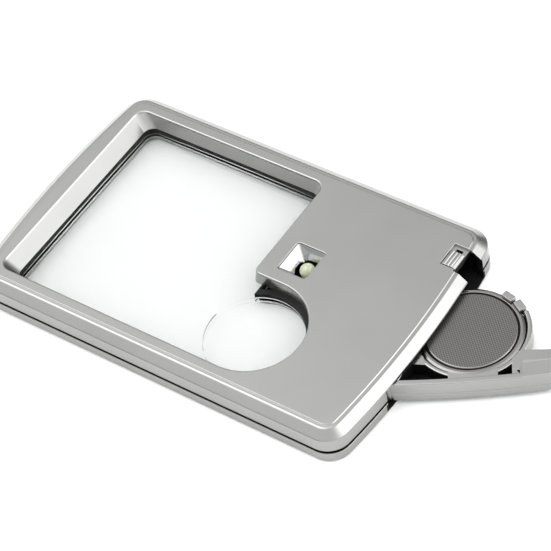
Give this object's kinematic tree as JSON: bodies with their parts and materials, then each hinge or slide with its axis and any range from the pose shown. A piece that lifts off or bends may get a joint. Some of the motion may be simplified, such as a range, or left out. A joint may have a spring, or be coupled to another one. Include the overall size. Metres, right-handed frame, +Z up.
{
  "type": "pocket magnifying glass",
  "caption": "Card-sized pocket magnifier: clear bifocal lens in a flat silver case with a reading lamp, a slide switch and a coin-cell drawer that swings out of one end.",
  "frame": {"origin": "middle of the case's flat underside", "axes": "+X along the case towards the drawer end, +Y across it towards the switch's corner, +Z up out of the lamp face"},
  "size_m": [0.1081, 0.054, 0.0075],
  "materials": {
    "silver_lacquer": "satin silver lacquer on black plastic",
    "clear_acrylic": "clear polished",
    "black_rubber": "matt",
    "bright_metal": "polished",
    "lamp_resin": "clear",
    "lamp_phosphor": "matt",
    "tinned_wire": "tinned",
    "black_plastic": "matt",
    "contact_brass": "rolled strip",
    "pin_steel": "ground",
    "cell_steel": "nickel plated",
    "screw_steel": "blackened"
  },
  "bodies": {
    "case": {"front_cover": "silver_lacquer", "rear_cover": "silver_lacquer", "bifocal_lens": "clear_acrylic", "lens_gasket": "black_rubber", "led_reflector": "bright_metal", "led_body": "lamp_resin", "led_phosphor": "lamp_phosphor", "led_leads": "tinned_wire", "positive_contact": "contact_brass", "negative_contact": "contact_brass", "feed_contact": "contact_brass", "drawer_pin": "pin_steel", "cover_screws": "screw_steel"},
    "drawer": {"battery_drawer": "silver_lacquer", "cell_can": "cell_steel", "cell_gasket": "black_plastic", "cell_cap": "cell_steel"},
    "switch": {"switch_slider": "silver_lacquer", "switch_carrier": "black_plastic", "switch_contact": "contact_brass"}
  },
  "joints": [
    {"name": "drawer_pivot", "type": "hinge", "parent": "case", "child": "drawer", "pos_m": [0.03935, -0.00855, 0.0034], "axis": [0, 0, 1], "range_deg": [-30, 59]},
    {"name": "switch_slide", "type": "slide", "parent": "case", "child": "switch", "axis": [0, 1, 0], "range_m": [0, 0.0014]}
  ]
}
